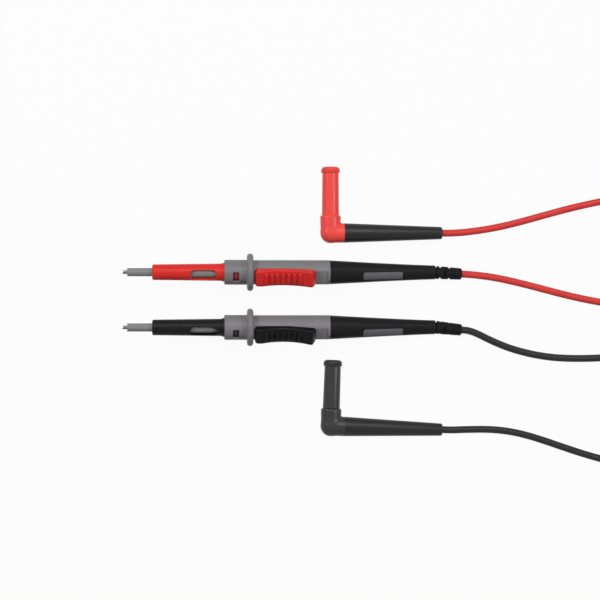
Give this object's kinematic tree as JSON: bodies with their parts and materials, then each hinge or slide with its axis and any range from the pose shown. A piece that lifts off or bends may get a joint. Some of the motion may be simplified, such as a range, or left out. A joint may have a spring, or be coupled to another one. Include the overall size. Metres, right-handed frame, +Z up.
{
  "type": "test lead pair",
  "caption": "Pair of test leads: slim hand probes with a thumb slide that moves an insulating sheath over the metal tip, and right-angle shrouded plugs on flexible cables.",
  "frame": {"origin": "on the surface that the leads lie on, under the middle of the box round the two probes", "axes": "+X along the probes from tip to cable, +Y from the black probe to the red one, +Z up"},
  "size_m": [0.3367, 0.1694, 0.0209],
  "materials": {
    "tip_metal": "bright turned nickel plate",
    "pin_metal": "bright turned nickel plate",
    "sheath_grey": "satin moulded plastic",
    "barrel_grey": "fine matt moulded plastic",
    "label_grey": "matt inlaid plate",
    "holder_ivory": "moulded inner part",
    "red_shell": "semi-gloss moulded plastic",
    "black_shell": "semi-gloss moulded plastic",
    "red_carriage": "moulded inner part",
    "black_carriage": "moulded inner part",
    "red_slider": "semi-gloss moulded plastic",
    "black_slider": "semi-gloss moulded plastic",
    "spring_steel": "plain strip",
    "contact_brass": "turned brass",
    "copper_strand": "stranded copper",
    "red_cable": "soft silicone jacket",
    "black_cable": "soft silicone jacket",
    "grip_black": "soft-touch moulded grip",
    "relief_black": "matt moulded rubber",
    "strap_black": "woven hook-and-loop strap",
    "red_boot": "matt moulded boot",
    "black_boot": "matt moulded boot",
    "red_plug": "semi-gloss moulded plastic",
    "black_plug": "semi-gloss moulded plastic"
  },
  "bodies": {
    "root": {"red_tip_rod": "tip_metal", "red_nose_cone": "red_shell", "red_barrel": "barrel_grey", "red_rod_holder": "holder_ivory", "red_crimp_ferrule": "contact_brass", "red_wire_core": "copper_strand", "red_handle_cable": "red_cable", "red_rear_grip": "grip_black", "red_label_plate": "label_grey", "red_strain_relief": "relief_black", "red_cable_probe_side": "red_cable", "red_cable_coil": "red_cable", "red_coil_tie": "strap_black", "red_cable_plug_side": "red_cable", "red_plug_cable": "red_cable", "red_plug_core": "copper_strand", "red_plug_boot": "red_boot", "red_plug_elbow": "red_plug", "red_plug_shroud": "red_plug", "red_plug_pin": "pin_metal", "red_pin_spring": "spring_steel", "red_plug_terminal": "contact_brass", "black_tip_rod": "tip_metal", "black_nose_cone": "black_shell", "black_barrel": "barrel_grey", "black_rod_holder": "holder_ivory", "black_crimp_ferrule": "contact_brass", "black_wire_core": "copper_strand", "black_handle_cable": "black_cable", "black_rear_grip": "grip_black", "black_label_plate": "label_grey", "black_strain_relief": "relief_black", "black_cable_probe_side": "black_cable", "black_cable_coil": "black_cable", "black_coil_tie": "strap_black", "black_cable_plug_side": "black_cable", "black_plug_cable": "black_cable", "black_plug_core": "copper_strand", "black_plug_boot": "black_boot", "black_plug_elbow": "black_plug", "black_plug_shroud": "black_plug", "black_plug_pin": "pin_metal", "black_pin_spring": "spring_steel", "black_plug_terminal": "contact_brass"},
    "red_slide": {"red_tip_sheath": "sheath_grey", "red_slide_carriage": "red_carriage", "red_detent_spring": "spring_steel", "red_thumb_slider": "red_slider"},
    "black_slide": {"black_tip_sheath": "sheath_grey", "black_slide_carriage": "black_carriage", "black_detent_spring": "spring_steel", "black_thumb_slider": "black_slider"}
  },
  "joints": [
    {"name": "red_sheath_slide", "type": "slide", "parent": "root", "child": "red_slide", "axis": [0.9981, 0, -0.0614], "range_m": [0, 0.007]},
    {"name": "black_sheath_slide", "type": "slide", "parent": "root", "child": "black_slide", "axis": [0.9981, 0, -0.0614], "range_m": [0, 0.007]}
  ]
}
